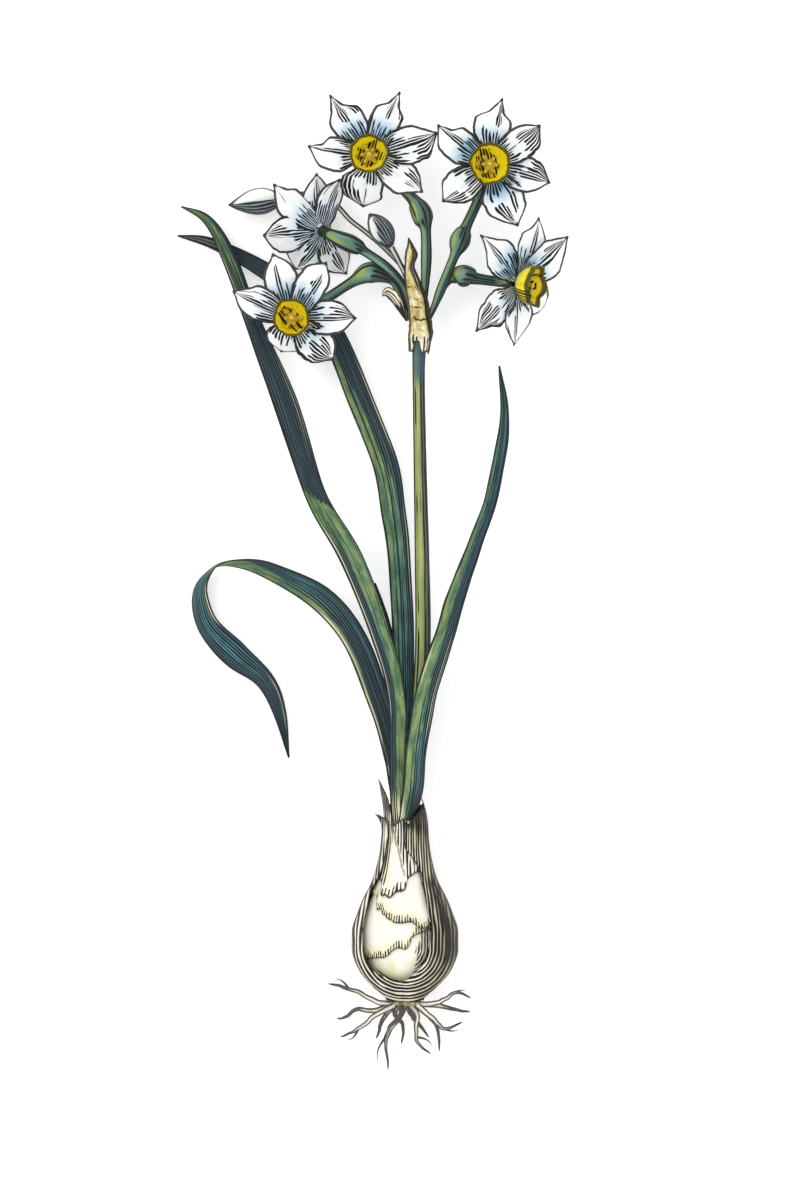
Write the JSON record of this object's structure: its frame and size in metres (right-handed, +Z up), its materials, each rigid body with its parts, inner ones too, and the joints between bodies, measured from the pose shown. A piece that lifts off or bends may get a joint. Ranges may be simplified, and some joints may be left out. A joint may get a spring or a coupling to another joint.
{
  "type": "polyanthus narcissus",
  "caption": "Polyanthus narcissus lifted bare with its bulb and roots, in bloom, lying on its back: white petals, yellow cups, strap leaves.",
  "frame": {"origin": "middle of the plant's footprint, on the surface that it lies on", "axes": "+Y from the roots towards the flowers, +Z up from the surface, +X to the right seen from above with the flowers away"},
  "size_m": [0.1576, 0.3904, 0.0407],
  "materials": {
    "brown_tunic": "satin",
    "pale_tunic": "satin",
    "cream_tunic": "satin",
    "bulb_flesh": "satin",
    "root": "matte",
    "leaf_green": "satin",
    "stalk_green": "satin",
    "petal_white": "matte",
    "cup_yellow": "matte",
    "anther_amber": "matte"
  },
  "bodies": {
    "root": {"bulb_tunic": "brown_tunic", "neck_sheath": "pale_tunic", "upper_scale": "cream_tunic", "lower_scale": "pale_tunic", "bulb_flesh": "bulb_flesh", "roots": "root", "leaf_1": "leaf_green", "leaf_2": "leaf_green", "leaf_3": "leaf_green", "leaf_4": "leaf_green", "leaf_5": "leaf_green", "scape": "stalk_green", "spathe": "cream_tunic", "flower_1_petals": "petal_white", "flower_1_cup": "cup_yellow", "flower_1_stamens": "anther_amber", "flower_1_stalk": "stalk_green", "flower_2_petals": "petal_white", "flower_2_cup": "cup_yellow", "flower_2_stamens": "anther_amber", "flower_2_stalk": "stalk_green", "flower_3_petals": "petal_white", "flower_3_cup": "cup_yellow", "flower_3_stamens": "anther_amber", "flower_3_stalk": "stalk_green", "flower_4_petals": "petal_white", "flower_4_cup": "cup_yellow", "flower_4_stamens": "anther_amber", "flower_4_stalk": "stalk_green", "flower_5_petals": "petal_white", "flower_5_cup": "cup_yellow", "flower_5_stamens": "anther_amber", "flower_5_stalk": "stalk_green", "bud_1_stalk": "stalk_green", "bud_1": "petal_white", "bud_2_stalk": "stalk_green", "bud_2": "petal_white"}
  },
  "joints": []
}
